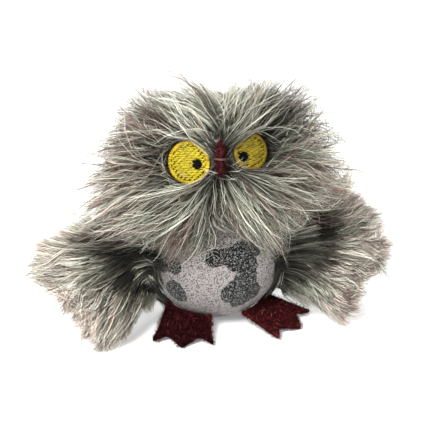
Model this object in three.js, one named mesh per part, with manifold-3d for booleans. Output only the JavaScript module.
// Owl cat toy: a palm-sized plush owl with a printed plush belly, a long-pile fur face and wings,
// embroidered eyes, and a felt beak and feet. Millimetres, +Z up, and the owl looks along -Y.
// Left and right are as seen from the front, so the left pieces lie on the -X side.
import * as THREE from "three";
import { mergeVertices } from "three/addons/utils/BufferGeometryUtils.js";
import Module from "manifold-3d";

// Body: a belly ball that sits on a small flat, a head ball above it and a soft waist between
const bellyRadius = 29.7;
const headRadius = 27;
const headRise = 45;
const headSetBack = 4;
const waistFillet = 25;
const restFlat = 1;
const plushThickness = 2;

// Seams between the cloth panels: above the floor, above the belly's centre and below the head's top
const baseSeamHeight = 3;
const faceSeamRise = 23.8;
const crownSeamDrop = 6.3;

// Gaps: between panels that meet at a seam, and between a moving piece and what it swings past
const seamGap = 0.3;
const hemGap = 0.8;

// Catnip pouch in the fibre filling
const pouchWidth = 22;
const pouchThickness = 9;
const pouchHem = 1;
const pouchDrop = 3;

// The face looks a little to one side. All that is on it is placed from its middle line.
const faceTurn = -6.5;

// Long pile of the face, as reach from the centre of the head
const faceReach = 34;
const napeReach = 19;
const cheekPile = 27;
const cheekSpread = 29;
const browPile = 18;
const browSpread = 21;
const bibPile = 17.5;
const bibSpread = 21;
const jowlPile = 10;
const jowlSpread = 22;
const templeHollow = 8;
const templeSpread = 20;
const partingDrop = 9;
const partingSpread = 17;
const underCheek = 2;

// Embroidered eyes: a patch and its border ring, with the pupil set in the patch
const eyeRadius = { left: 9, right: 7.8 };
const eyeBorderWidth = 1.2;
const eyeSeat = 31.6;
const eyeThickness = 1.6;
const eyeBorderThickness = 2.1;
const eyeAzimuth = { left: 24, right: 24.8 };
const eyeElevation = { left: 11.4, right: 17.9 };
const pupilRadius = 2;
const pupilInset = 4;
const pupilDrop = { left: 0.1, right: 1.4 };

// Beak: a folded felt leaf with a stitch across its middle
const beakLength = 15.4;
const beakWidth = 4.8;
const beakDepth = 7;
const beakSeat = 32;
const beakElevation = 15.4;
const stitchRadius = 0.4;

// Wings: a hem along a short upright seam, then a fan of pile with an upper and a lower lobe
const wingSeamTop = 12;
const wingSeamBottom = -10;
const wingHem = 1.2;
const wingSwell = 13;
const wingTipThickness = 3;
const wingSweep = 16;
const wingHingeOffset = 2.5;
const wingFloorClearance = 1.8;
const liningThickness = 1.2;
const wingReach = 48.5;

// Tips of each wing from the top edge round to the bottom, as shares of its reach: out, back and up
const wingTips = {
  left: [
    [0.75, -0.04, 0.27],
    [0.89, -0.06, 0.25],
    [0.94, -0.1, 0.09],
    [0.88, -0.16, -0.13],
    [0.69, -0.3, -0.36],
    [0.59, -0.42, -0.48],
    [0.44, -0.53, -0.55],
    [0.26, -0.49, -0.52],
    [0.13, -0.35, -0.4],
  ],
  right: [
    [0.58, 0.04, 0.41],
    [0.81, 0, 0.29],
    [0.91, -0.06, 0.03],
    [0.89, -0.13, -0.18],
    [0.64, -0.27, -0.33],
    [0.52, -0.44, -0.47],
    [0.38, -0.53, -0.54],
    [0.22, -0.5, -0.44],
  ],
};

// Feet: felt plates with three pointed toes, sloping down from under the belly to the floor
const footWidth = { left: 25.4, right: 29 };
const footLength = 26;
const footRootWidth = 20;
const toeDepth = 7;
const toeRound = 2.2;
const feltThickness = 2;
const footSlope = 14;
const footSplay = { left: 18, right: 47 };
const footSpacing = 29;
const footForward = 12;
const footHingeForward = 5;
const footFoldUp = 10;
const footFoldDown = 30;
const toeClearance = 0.1;

const bellyHeight = bellyRadius - restFlat;
const headHeight = bellyHeight + headRise;
const headCentre = new THREE.Vector3(0, headSetBack, headHeight);
const faceSeamHeight = bellyHeight + faceSeamRise;
const crownSeamHeight = headHeight + headRadius - crownSeamDrop;
const pouchHeight = faceSeamHeight - pouchDrop;
const aroundBody = 36;
const aroundFilling = 24;
const far = 200;
const weldDistance = 1e-4;
const upright = new THREE.Vector3(0, 0, 1);
const radians = THREE.MathUtils.degToRad;

const wasm = await Module();
wasm.setup();

// Solids: a closed geometry becomes a solid that can be cut, and a solid becomes a geometry again
function solidOf(geometry) {
  const bare = geometry.clone();
  bare.deleteAttribute("normal");
  bare.deleteAttribute("uv");
  const welded = mergeVertices(bare, weldDistance);
  const index = welded.index.array;
  const triangles = [];
  for (let i = 0; i < index.length; i += 3) {
    const [a, b, c] = index.slice(i, i + 3);
    if (a !== b && b !== c && c !== a) triangles.push(a, b, c);
  }
  const vertProperties = new Float32Array(welded.attributes.position.array);
  const triVerts = new Uint32Array(triangles);
  return new wasm.Manifold(new wasm.Mesh({ numProp: 3, vertProperties, triVerts }));
}

function geometryOf(solid) {
  const mesh = solid.getMesh();
  const geometry = new THREE.BufferGeometry();
  geometry.setAttribute("position", new THREE.BufferAttribute(new Float32Array(mesh.vertProperties), 3));
  geometry.setIndex(new THREE.BufferAttribute(new Uint32Array(mesh.triVerts), 1));
  geometry.computeVertexNormals();
  return geometry;
}

// The largest piece of a solid, without the crumbs that a cut can leave
function mainPiece(solid) {
  return solid.decompose().reduce((best, piece) => (piece.volume() > best.volume() ? piece : best));
}

function block(low, high) {
  const box = new THREE.BoxGeometry(high[0] - low[0], high[1] - low[1], high[2] - low[2]);
  box.translate((low[0] + high[0]) / 2, (low[1] + high[1]) / 2, (low[2] + high[2]) / 2);
  return solidOf(box);
}

// A closed sheet between two grids of points, each a function of s and t from 0 to 1
function sheetBetween(front, back, stepsS, stepsT) {
  const points = [];
  const triangles = [];
  const columns = stepsT + 1;
  const layer = (stepsS + 1) * columns;
  for (const side of [front, back]) {
    for (let i = 0; i <= stepsS; i += 1) {
      for (let j = 0; j <= stepsT; j += 1) points.push(side(i / stepsS, j / stepsT));
    }
  }
  const quad = (a, b, c, d) => triangles.push(a, b, c, a, c, d);
  for (let i = 0; i < stepsS; i += 1) {
    for (let j = 0; j < stepsT; j += 1) {
      const a = i * columns + j;
      quad(a, a + 1, a + 1 + columns, a + columns);
      quad(layer + a, layer + a + columns, layer + a + columns + 1, layer + a + 1);
    }
  }
  for (let i = 0; i < stepsS; i += 1) {
    const a = i * columns;
    const b = a + stepsT;
    quad(a, a + columns, layer + a + columns, layer + a);
    quad(b, layer + b, layer + b + columns, b + columns);
  }
  for (let j = 0; j < stepsT; j += 1) {
    const a = j;
    const b = stepsS * columns + j;
    quad(a, layer + a, layer + a + 1, a + 1);
    quad(b, b + 1, layer + b + 1, layer + b);
  }
  const geometry = new THREE.BufferGeometry();
  geometry.setAttribute("position", new THREE.Float32BufferAttribute(points.flatMap((p) => p.toArray()), 3));
  geometry.setIndex(triangles);
  const solid = solidOf(geometry);
  if (solid.volume() > 0) return solid;
  geometry.setIndex(triangles.reverse());
  return solidOf(geometry);
}

// Body form: belly arc, hollow waist arc and head arc turned about Z, then eased back at the head
function profileArc(x, z, radius, from, to, clockwise, steps) {
  const arc = new THREE.EllipseCurve(x, z, radius, radius, from, to, clockwise);
  return arc.getPoints(steps);
}

function setBackAt(z) {
  return headSetBack * THREE.MathUtils.smoothstep(z, bellyHeight, headHeight);
}

function bodyForm(grow, around = aroundBody) {
  const toBelly = bellyRadius + waistFillet;
  const toHead = headRadius + waistFillet;
  const waistZ = (headRise ** 2 + toBelly ** 2 - toHead ** 2) / (2 * headRise);
  const waistX = Math.sqrt(toBelly ** 2 - waistZ ** 2);
  const bellyEnd = Math.atan2(waistZ, waistX);
  const headStart = Math.atan2(waistZ - headRise, waistX);
  const profile = [
    ...profileArc(0, 0, bellyRadius + grow, -Math.PI / 2, bellyEnd, false, 11),
    ...profileArc(waistX, waistZ, waistFillet - grow, Math.PI + bellyEnd, Math.PI + headStart, true, 4).slice(1),
    ...profileArc(0, headRise, headRadius + grow, headStart, Math.PI / 2, false, 10).slice(1),
  ];
  profile[0].x = 0;
  profile.at(-1).x = 0;
  const form = new THREE.LatheGeometry(profile, around);
  form.rotateX(Math.PI / 2);
  form.translate(0, 0, bellyHeight);
  const position = form.attributes.position;
  for (let i = 0; i < position.count; i += 1) {
    position.setY(i, position.getY(i) + setBackAt(position.getZ(i)));
  }
  return solidOf(form);
}

const skinOuter = bodyForm(0);
const skin = skinOuter.subtract(bodyForm(-plushThickness));
const aroundSkin = bodyForm(seamGap);

function panel(low, high) {
  return skin.intersect(block(low, high));
}

const halfGap = seamGap / 2;
const basePanel = panel([-far, -far, 0], [far, far, baseSeamHeight - halfGap]);
const bellyPanel = panel([-far, -far, baseSeamHeight + halfGap], [far, -halfGap, faceSeamHeight - halfGap]);
const backPanel = panel([-far, halfGap, baseSeamHeight + halfGap], [far, far, crownSeamHeight - halfGap]);
const crownPanel = panel([-far, -far, crownSeamHeight + halfGap], [far, far, far]);

// Filling: fibre in the belly and the head, and the catnip pouch that lies where they meet
function pouchForm(grow) {
  const half = pouchWidth / 2 + grow;
  const lift = (s, t) => {
    const crown = Math.sin(Math.PI * s) * Math.sin(Math.PI * t);
    return pouchHem / 2 + grow + (pouchThickness - pouchHem) / 2 * Math.sqrt(crown);
  };
  const point = (s, t, side) => new THREE.Vector3(
    half * (2 * s - 1),
    half * (2 * t - 1) + setBackAt(pouchHeight),
    pouchHeight + side * lift(s, t),
  );
  return sheetBetween((s, t) => point(s, t, 1), (s, t) => point(s, t, -1), 6, 6);
}

const filling = bodyForm(-plushThickness - seamGap, aroundFilling).subtract(pouchForm(seamGap));
const bodyFibre = filling.intersect(block([-far, -far, plushThickness + seamGap], [far, far, pouchHeight - halfGap]));
const headFibre = filling.intersect(block([-far, -far, pouchHeight + halfGap], [far, far, far]));

// A place on the head: its own Z points out of the head, its Y up the face and its X across it
function onHead(azimuth, elevation, radius) {
  const a = radians(faceTurn + azimuth);
  const e = radians(elevation);
  const out = new THREE.Vector3(Math.sin(a) * Math.cos(e), -Math.cos(a) * Math.cos(e), Math.sin(e));
  const across = new THREE.Vector3(Math.cos(a), Math.sin(a), 0);
  const up = new THREE.Vector3().crossVectors(out, across);
  const place = new THREE.Matrix4().makeBasis(across, up, out);
  return place.setPosition(out.multiplyScalar(radius).add(headCentre));
}

// A domed disc or ring about its own Z, bent to the curve of the head
function domedRing(inner, outer, thickness, grow) {
  const steps = 4;
  const sag = (r) => (r ** 2) / (2 * eyeSeat);
  const low = inner > 0 ? inner - grow : 0;
  const high = outer + grow;
  const profile = [];
  for (let i = 0; i <= steps; i += 1) {
    const r = low + (high - low) * i / steps;
    profile.push(new THREE.Vector2(r, -sag(r) - grow));
  }
  for (let i = steps; i >= 0; i -= 1) {
    const r = low + (high - low) * i / steps;
    const rim = i === steps || (i === 0 && inner > 0);
    profile.push(new THREE.Vector2(r, -sag(r) + grow + (rim ? thickness / 2 : thickness)));
  }
  if (inner > 0) profile.push(profile[0].clone());
  const ring = new THREE.LatheGeometry(profile, 24);
  ring.rotateX(Math.PI / 2);
  return ring;
}

function cylinderAlongZ(radius, low, high) {
  const cylinder = new THREE.CylinderGeometry(radius, radius, high - low, 24);
  cylinder.rotateX(Math.PI / 2);
  cylinder.translate(0, 0, (low + high) / 2);
  return cylinder;
}

function eye(name, side) {
  const place = onHead(side * eyeAzimuth[name], eyeElevation[name], eyeSeat);
  const rim = eyeRadius[name];
  const patchRadius = rim - eyeBorderWidth - seamGap;
  const pupilAt = [-side * pupilInset, -pupilDrop[name]];
  const pupilSag = pupilInset ** 2 / (2 * eyeSeat);
  const pupilHole = cylinderAlongZ(pupilRadius + seamGap, -eyeThickness, 2 * eyeThickness);
  pupilHole.translate(...pupilAt, 0);
  const pupil = cylinderAlongZ(pupilRadius, -pupilSag, eyeThickness);
  pupil.translate(...pupilAt, 0);
  pupil.applyMatrix4(place);
  pupilHole.applyMatrix4(place);
  const patch = domedRing(0, patchRadius, eyeThickness, 0).applyMatrix4(place);
  const border = domedRing(rim - eyeBorderWidth, rim, eyeBorderThickness, 0).applyMatrix4(place);
  const well = cylinderAlongZ(rim + seamGap, -seamGap - rim ** 2 / (2 * eyeSeat), far).applyMatrix4(place);
  return {
    patch: solidOf(patch).subtract(solidOf(pupilHole)),
    border: solidOf(border),
    pupil: solidOf(pupil),
    well: solidOf(well),
  };
}

const eyes = { left: eye("left", -1), right: eye("right", 1) };

// Beak: a leaf with a keel, drawn in at the stitch that crosses its middle
function beakForm(grow) {
  const halfLength = beakLength / 2 + grow;
  const edge = 0.4 + grow;
  const pinch = (s) => 1 - 0.22 * Math.exp(-(((s - 0.5) / 0.09) ** 2));
  const leaf = (s) => Math.sin(Math.PI * s) ** 0.7 * pinch(s);
  const front = (s, t) => new THREE.Vector3(
    (beakWidth / 2 + grow) * (2 * t - 1) * (0.12 + 0.88 * leaf(s)),
    halfLength * (2 * s - 1),
    edge + (beakDepth + grow) * leaf(s) * (1 - Math.abs(2 * t - 1)) ** 0.8,
  );
  const back = (s, t) => front(s, t).setZ(-edge);
  return sheetBetween(front, back, 12, 4);
}

function onBeak(solid) {
  const place = onHead(0, beakElevation, beakSeat);
  const geometry = geometryOf(solid).applyMatrix4(place);
  return solidOf(geometry);
}

const stitchArc = new THREE.QuadraticBezierCurve3(
  new THREE.Vector3(-beakWidth * 0.5, 0, 0.9),
  new THREE.Vector3(0, 0, 2 * beakDepth + 0.4),
  new THREE.Vector3(beakWidth * 0.5, 0, 0.9),
);
const stitchShape = new THREE.Shape().absarc(0, 0, stitchRadius, 0, 2 * Math.PI);
const stitchTube = new THREE.ExtrudeGeometry(stitchShape, { steps: 8, extrudePath: stitchArc, curveSegments: 3 });
const stitchRoom = new THREE.Shape().absarc(0, 0, stitchRadius + seamGap, 0, 2 * Math.PI);
const stitchGroove = new THREE.ExtrudeGeometry(stitchRoom, { steps: 8, extrudePath: stitchArc, curveSegments: 3 });
const beak = onBeak(beakForm(0).subtract(solidOf(stitchGroove)));
const beakStitch = onBeak(solidOf(stitchTube));
const beakRoom = onBeak(beakForm(seamGap));
const stitchRoomOnHead = onBeak(solidOf(stitchGroove));

// Face fur: reach from the head's centre in each direction, with lobes of longer pile
const faceLobes = [
  { toward: [1, -0.25, -0.02], pile: cheekPile, spread: cheekSpread },
  { toward: [0.68, -0.3, 0.68], pile: browPile, spread: browSpread },
  { toward: [0.42, -0.6, -0.68], pile: bibPile, spread: bibSpread },
  { toward: [0.78, -0.3, -0.42], pile: jowlPile, spread: jowlSpread },
  { toward: [0.84, -0.44, 0.32], pile: -templeHollow, spread: templeSpread },
  { toward: [0, -0.3, 0.95], pile: -partingDrop, spread: partingSpread },
].map((lobe) => ({ ...lobe, toward: new THREE.Vector3(...lobe.toward).normalize() }));

function furReach(direction) {
  const mirrored = direction.clone().applyAxisAngle(upright, -radians(faceTurn));
  mirrored.x = Math.abs(mirrored.x);
  const facing = THREE.MathUtils.smoothstep(-direction.y, -0.4, 0.3);
  let reach = THREE.MathUtils.lerp(napeReach, faceReach, facing);
  for (const lobe of faceLobes) {
    const angle = THREE.MathUtils.radToDeg(mirrored.angleTo(lobe.toward));
    reach += lobe.pile * facing * Math.exp(-((angle / lobe.spread) ** 2));
  }
  return reach;
}

function faceForm() {
  const form = new THREE.SphereGeometry(1, 40, 20);
  const position = form.attributes.position;
  const direction = new THREE.Vector3();
  for (let i = 0; i < position.count; i += 1) {
    direction.fromBufferAttribute(position, i).normalize();
    const point = direction.clone().multiplyScalar(furReach(direction)).add(headCentre);
    position.setXYZ(i, ...point.toArray());
  }
  return solidOf(form);
}

// The wings swing below the cheeks, so the fur stops above them outside the belly
function highestTip(name) {
  return wingReach * Math.max(...wingTips[name].map((tip) => tip[2]));
}

const innerWing = bellyRadius + hemGap;
const outerWing = innerWing + wingReach / 2;
const underFur = new THREE.Shape([
  new THREE.Vector2(-far, -far),
  new THREE.Vector2(-far, highestTip("left")),
  new THREE.Vector2(-outerWing, highestTip("left")),
  new THREE.Vector2(-innerWing, wingSeamTop),
  new THREE.Vector2(innerWing, wingSeamTop),
  new THREE.Vector2(outerWing, highestTip("right")),
  new THREE.Vector2(far, highestTip("right")),
  new THREE.Vector2(far, -far),
]);
const underFurPrism = new THREE.ExtrudeGeometry(underFur, { depth: 2 * far, bevelEnabled: false });
underFurPrism.rotateX(Math.PI / 2);
underFurPrism.translate(0, far, bellyHeight + underCheek + hemGap);
const overWings = solidOf(underFurPrism)
  .subtract(block([-0.72 * bellyRadius, -far, -far], [0.72 * bellyRadius, -0.4 * bellyRadius, far]));
const faceBacking = bodyForm(1)
  .subtract(bodyForm(-plushThickness))
  .intersect(block([-far, -far, faceSeamHeight + halfGap], [far, -halfGap, crownSeamHeight - halfGap]));
const faceFur = faceForm()
  .subtract(aroundSkin)
  .subtract(overWings)
  .add(faceBacking)
  .subtract(eyes.left.well)
  .subtract(eyes.right.well)
  .subtract(beakRoom)
  .subtract(stitchRoomOnHead);

// The fur is in two halves that meet on the middle line of the face
function faceHalf(side) {
  const half = new THREE.BoxGeometry(far, 2 * far, 2 * far);
  half.translate(side * (far / 2 + halfGap), 0, 0);
  half.rotateZ(radians(faceTurn));
  half.translate(0, headSetBack, far);
  return mainPiece(faceFur.intersect(solidOf(half)));
}

const leftFaceFur = faceHalf(-1);
const rightFaceFur = faceHalf(1);

// Wings, in their own frame: X out from the hinge, Y back and Z up from the belly's centre
const wingHingeX = bellyRadius + hemGap + wingHingeOffset;
const tipEdges = { left: tipEdge("left"), right: tipEdge("right") };

function tipEdge(name) {
  const lowest = wingFloorClearance - bellyHeight;
  return new THREE.CatmullRomCurve3(wingTips[name].map(([out, back, up]) => new THREE.Vector3(
    out * wingReach,
    back * wingReach,
    Math.max(up * wingReach, lowest),
  )));
}

function wingPoint(name, s, t) {
  const z = THREE.MathUtils.lerp(wingSeamTop, wingSeamBottom, t);
  const belly = Math.sqrt((bellyRadius + hemGap) ** 2 - z ** 2);
  const root = new THREE.Vector3(belly - wingHingeX, 0, z);
  const tip = tipEdges[name].getPoint(t);
  const point = root.clone().lerp(tip, s);
  point.y = THREE.MathUtils.lerp(root.y, tip.y, s ** 1.5);
  return point;
}

function wingSheet(name, side, nearDepth, farDepth) {
  const out = new THREE.Vector3(side * Math.sin(radians(wingSweep)), -Math.cos(radians(wingSweep)), 0);
  const place = (s, t, depth) => {
    const point = wingPoint(name, s, t);
    return new THREE.Vector3(side * (point.x + wingHingeX), point.y, point.z + bellyHeight)
      .addScaledVector(out, depth(s, t));
  };
  return sheetBetween((s, t) => place(s, t, farDepth), (s, t) => place(s, t, nearDepth), 9, 12);
}

function pileDepth(s, t) {
  const swell = Math.sin(Math.PI * s ** 0.75) ** 0.8 * Math.sin(Math.PI * (0.08 + 0.84 * t)) ** 0.6;
  return THREE.MathUtils.lerp(wingHem, wingTipThickness, s) + wingSwell * swell;
}

function wing(name, side) {
  return {
    fur: wingSheet(name, side, () => 0, pileDepth),
    lining: wingSheet(name, side, () => -seamGap - liningThickness, () => -seamGap),
  };
}

const wings = { left: wing("left", -1), right: wing("right", 1) };

// Feet: the outline of one foot, its corners rounded, from the seam to the three toes
function roundedOutline(corners, round) {
  const outline = new THREE.Shape();
  corners.forEach((corner, i) => {
    const before = corners[(i + corners.length - 1) % corners.length];
    const after = corners[(i + 1) % corners.length];
    const entry = corner.clone().add(before.clone().sub(corner).setLength(round));
    const exit = corner.clone().add(after.clone().sub(corner).setLength(round));
    if (i === 0) outline.moveTo(entry.x, entry.y);
    else outline.lineTo(entry.x, entry.y);
    outline.quadraticCurveTo(corner.x, corner.y, exit.x, exit.y);
  });
  outline.closePath();
  return outline;
}

function footRoot(side) {
  const toeHeight = footLength * Math.sin(radians(footSlope));
  return [side * footSpacing / 2, -footForward, toeHeight + toeClearance];
}

// The fold line of a foot runs across it, level, just in front of the seam
function footHinge(name, side) {
  const slope = radians(footSlope);
  const splay = radians(side * footSplay[name]);
  const toward = new THREE.Vector3(Math.sin(splay), -Math.cos(splay), 0);
  const point = new THREE.Vector3(...footRoot(side))
    .addScaledVector(toward, footHingeForward * Math.cos(slope))
    .add(new THREE.Vector3(0, 0, feltThickness / 2 - footHingeForward * Math.sin(slope)));
  const axis = new THREE.Vector3(Math.cos(splay), Math.sin(splay), 0);
  return { point, axis };
}

// The body as a foot meets it at rest and at both ends of its fold
function footSweep(name, side) {
  const { point, axis } = footHinge(name, side);
  return [-footFoldDown, -footFoldDown / 2, 0, footFoldUp / 2, footFoldUp].map((angle) => {
    const turn = new THREE.Matrix4().makeRotationAxis(axis, radians(angle));
    const toHinge = new THREE.Matrix4().setPosition(point.clone().negate());
    const back = new THREE.Matrix4().setPosition(point);
    return solidOf(geometryOf(aroundSkin).applyMatrix4(back.multiply(turn).multiply(toHinge)));
  });
}

function footSolid(name, side) {
  const toe = footWidth[name] / 2;
  const valley = footLength - toeDepth;
  const corners = [
    new THREE.Vector2(-footRootWidth / 2, -footForward / 2),
    new THREE.Vector2(footRootWidth / 2, -footForward / 2),
    new THREE.Vector2(0.94 * toe, 0.6 * footLength),
    new THREE.Vector2(toe + 1, footLength - 3),
    new THREE.Vector2(toe / 2 + 0.6, valley - 1),
    new THREE.Vector2(0, footLength),
    new THREE.Vector2(-toe / 2 - 0.6, valley - 1),
    new THREE.Vector2(-toe - 1, footLength - 3),
    new THREE.Vector2(-0.94 * toe, 0.6 * footLength),
  ];
  const outline = roundedOutline(corners, toeRound);
  const foot = new THREE.ExtrudeGeometry(outline, { depth: feltThickness, bevelEnabled: false, curveSegments: 3 });
  foot.rotateZ(Math.PI);
  foot.rotateX(radians(footSlope));
  foot.rotateZ(side * radians(footSplay[name]));
  foot.translate(...footRoot(side));
  return footSweep(name, side).reduce((solid, body) => solid.subtract(body), solidOf(foot));
}

const feet = { left: footSolid("left", -1), right: footSolid("right", 1) };

// Colours of the cloths, felts and threads
const printedPlush = new THREE.MeshStandardMaterial({ color: "#a9a3a0", roughness: 0.95 });
const greyPlush = new THREE.MeshStandardMaterial({ color: "#aca79d", roughness: 0.95 });
const greyFur = new THREE.MeshStandardMaterial({ color: "#97927f", roughness: 0.9 });
const yellowThread = new THREE.MeshStandardMaterial({ color: "#e6cf22", roughness: 0.55 });
const amberThread = new THREE.MeshStandardMaterial({ color: "#b08a18", roughness: 0.55 });
const blackThread = new THREE.MeshStandardMaterial({ color: "#121110", roughness: 0.6 });
const maroonFelt = new THREE.MeshStandardMaterial({ color: "#5b2224", roughness: 1 });
const paleThread = new THREE.MeshStandardMaterial({ color: "#b09a90", roughness: 0.7 });
const whiteFibre = new THREE.MeshStandardMaterial({ color: "#e8e6e0", roughness: 1 });
const pouchCloth = new THREE.MeshStandardMaterial({ color: "#cfc4a4", roughness: 1 });

// Assembly: pieces by name, with the middle of the footprint at the origin
const owl = new THREE.Group();

function addPiece(name, solid, material) {
  const mesh = new THREE.Mesh(geometryOf(solid), material);
  mesh.name = name;
  owl.add(mesh);
}

addPiece("base_panel", basePanel, printedPlush);
addPiece("belly_panel", bellyPanel, printedPlush);
addPiece("back_panel", backPanel, greyPlush);
addPiece("crown_panel", crownPanel, greyPlush);
addPiece("body_filling", bodyFibre, whiteFibre);
addPiece("head_filling", headFibre, whiteFibre);
addPiece("catnip_pouch", pouchForm(0), pouchCloth);
addPiece("left_face_fur", leftFaceFur, greyFur);
addPiece("right_face_fur", rightFaceFur, greyFur);
addPiece("beak", beak, maroonFelt);
addPiece("beak_stitch", beakStitch, paleThread);
for (const side of ["left", "right"]) {
  addPiece(`${side}_eye_patch`, eyes[side].patch, yellowThread);
  addPiece(`${side}_eye_border`, eyes[side].border, amberThread);
  addPiece(`${side}_pupil`, eyes[side].pupil, blackThread);
  addPiece(`${side}_wing_fur`, wings[side].fur, greyFur);
  addPiece(`${side}_wing_lining`, wings[side].lining, greyPlush);
  addPiece(`${side}_foot`, feet[side], maroonFelt);
}

const extent = new THREE.Box3().setFromObject(owl);
owl.position.y = -(extent.min.y + extent.max.y) / 2;

export default owl;
